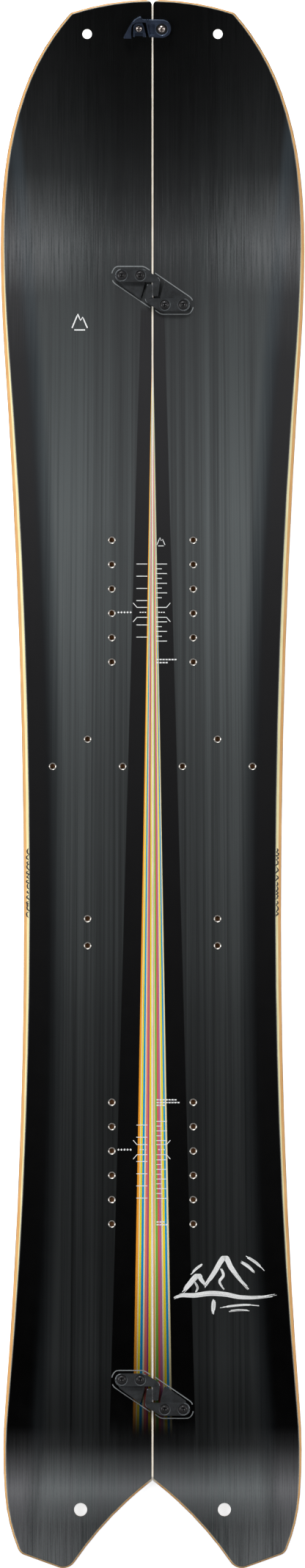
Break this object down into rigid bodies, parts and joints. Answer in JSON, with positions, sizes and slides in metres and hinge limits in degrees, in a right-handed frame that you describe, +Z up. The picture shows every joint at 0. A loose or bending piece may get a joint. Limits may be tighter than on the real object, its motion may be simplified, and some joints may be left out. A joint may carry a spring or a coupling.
{
  "type": "splitboard",
  "caption": "Snowboard sawn lengthwise into two mating halves, with seam hooks, a turning nose clip, steel edges, bevelled sidewalls and threaded inserts.",
  "frame": {"origin": "on the ground under the middle of the board, on the seam line between the halves", "axes": "+Y along the board to the nose, +Z up from the running surface to the topsheet, +X to the right half"},
  "size_m": [0.3172, 1.6301, 0.0615],
  "materials": {
    "base": "black sintered polyethylene",
    "edge_steel": "ground steel edge",
    "laminate": "glass fibre and resin",
    "core": "glued wood strips",
    "sidewall_amber": "amber sidewall",
    "sidewall_pale": "pale yellow sidewall",
    "seam_wall": "cream inner sidewall",
    "topsheet": "satin printed nylon",
    "insert_steel": "stainless steel",
    "hook_metal": "dark anodised aluminium",
    "screw_black": "black oxide steel",
    "screw_bright": "polished stainless steel",
    "clip_metal": "dark blue-grey coated metal",
    "bush": "black acetal"
  },
  "bodies": {
    "left_half": {"left_base": "base", "left_outer_edge": "edge_steel", "left_inner_edge": "edge_steel", "left_lower_laminate": "laminate", "left_core": "core", "left_lower_sidewall": "sidewall_amber", "left_upper_sidewall": "sidewall_pale", "left_seam_sidewall": "seam_wall", "left_upper_laminate": "laminate", "left_topsheet": "topsheet", "left_front_binding_inserts": "insert_steel", "left_rear_binding_inserts": "insert_steel", "left_toe_inserts": "insert_steel", "left_heel_inserts": "insert_steel", "left_hook_nuts": "insert_steel", "left_front_hook": "hook_metal", "left_rear_hook": "hook_metal", "left_front_hook_screws": "screw_black", "left_rear_hook_screws": "screw_black", "left_clip_nut": "insert_steel", "left_clip_screw": "screw_bright", "left_clip_catch": "clip_metal"},
    "right_half": {"right_base": "base", "right_outer_edge": "edge_steel", "right_inner_edge": "edge_steel", "right_lower_laminate": "laminate", "right_core": "core", "right_lower_sidewall": "sidewall_amber", "right_upper_sidewall": "sidewall_pale", "right_seam_sidewall": "seam_wall", "right_upper_laminate": "laminate", "right_topsheet": "topsheet", "right_front_binding_inserts": "insert_steel", "right_rear_binding_inserts": "insert_steel", "right_toe_inserts": "insert_steel", "right_heel_inserts": "insert_steel", "right_hook_nuts": "insert_steel", "right_front_hook": "hook_metal", "right_rear_hook": "hook_metal", "right_front_hook_screws": "screw_black", "right_rear_hook_screws": "screw_black", "right_clip_nut": "insert_steel", "right_clip_screw": "screw_bright", "right_clip_bush": "bush"},
    "nose_clip": {"nose_clip_hook": "clip_metal"}
  },
  "joints": [
    {"name": "half_shift", "type": "slide", "parent": "left_half", "child": "right_half", "axis": [0, 1, 0], "range_m": [-0.02, 0]},
    {"name": "nose_clip_swing", "type": "hinge", "parent": "right_half", "child": "nose_clip", "pos_m": [0.0096, 0.7861, 0.05164], "axis": [0, -0.3354, 0.9421], "range_deg": [-150, 0]}
  ],
  "couplings": [
    {"joint": "nose_clip_swing", "follows": "half_shift", "rad_per_m": 130.9}
  ]
}
